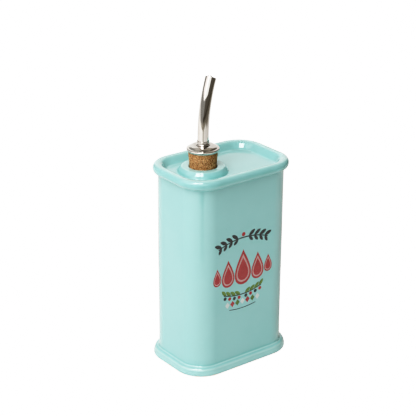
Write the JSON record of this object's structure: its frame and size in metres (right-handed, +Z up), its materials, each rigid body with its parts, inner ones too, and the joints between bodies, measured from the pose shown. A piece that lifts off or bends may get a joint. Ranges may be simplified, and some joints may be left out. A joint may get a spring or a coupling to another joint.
{
  "type": "ceramic oil can",
  "caption": "Upright glazed ceramic oil can with rounded corners, rolled rim, sunken deck and raised neck, closed by a tapered cork that carries a bent metal pouring spout.",
  "frame": {"origin": "middle of the foot's underside, on the surface it stands on", "axes": "+Z up, X along the long side with the neck towards -X, and the printed side facing -Y"},
  "size_m": [0.1028, 0.072, 0.233],
  "materials": {
    "glaze": "glossy pale aqua glaze",
    "cork": null,
    "chrome": "polished plated metal",
    "steel": "plain drawn tube"
  },
  "bodies": {
    "can": {"ceramic_body": "glaze"},
    "stopper": {"cork_stopper": "cork"},
    "pourer": {"pourer_flange": "chrome", "spout_ferrule": "chrome", "spout_tube": "chrome", "breather_tube": "steel"}
  },
  "joints": [
    {"name": "stopper_lift", "type": "slide", "parent": "can", "child": "stopper", "axis": [0, 0, 1], "range_m": [0, 0.06]},
    {"name": "spout_turn", "type": "hinge", "parent": "stopper", "child": "pourer", "pos_m": [-0.0177, 0, 0.18], "axis": [0, 0, 1], "continuous": true}
  ]
}
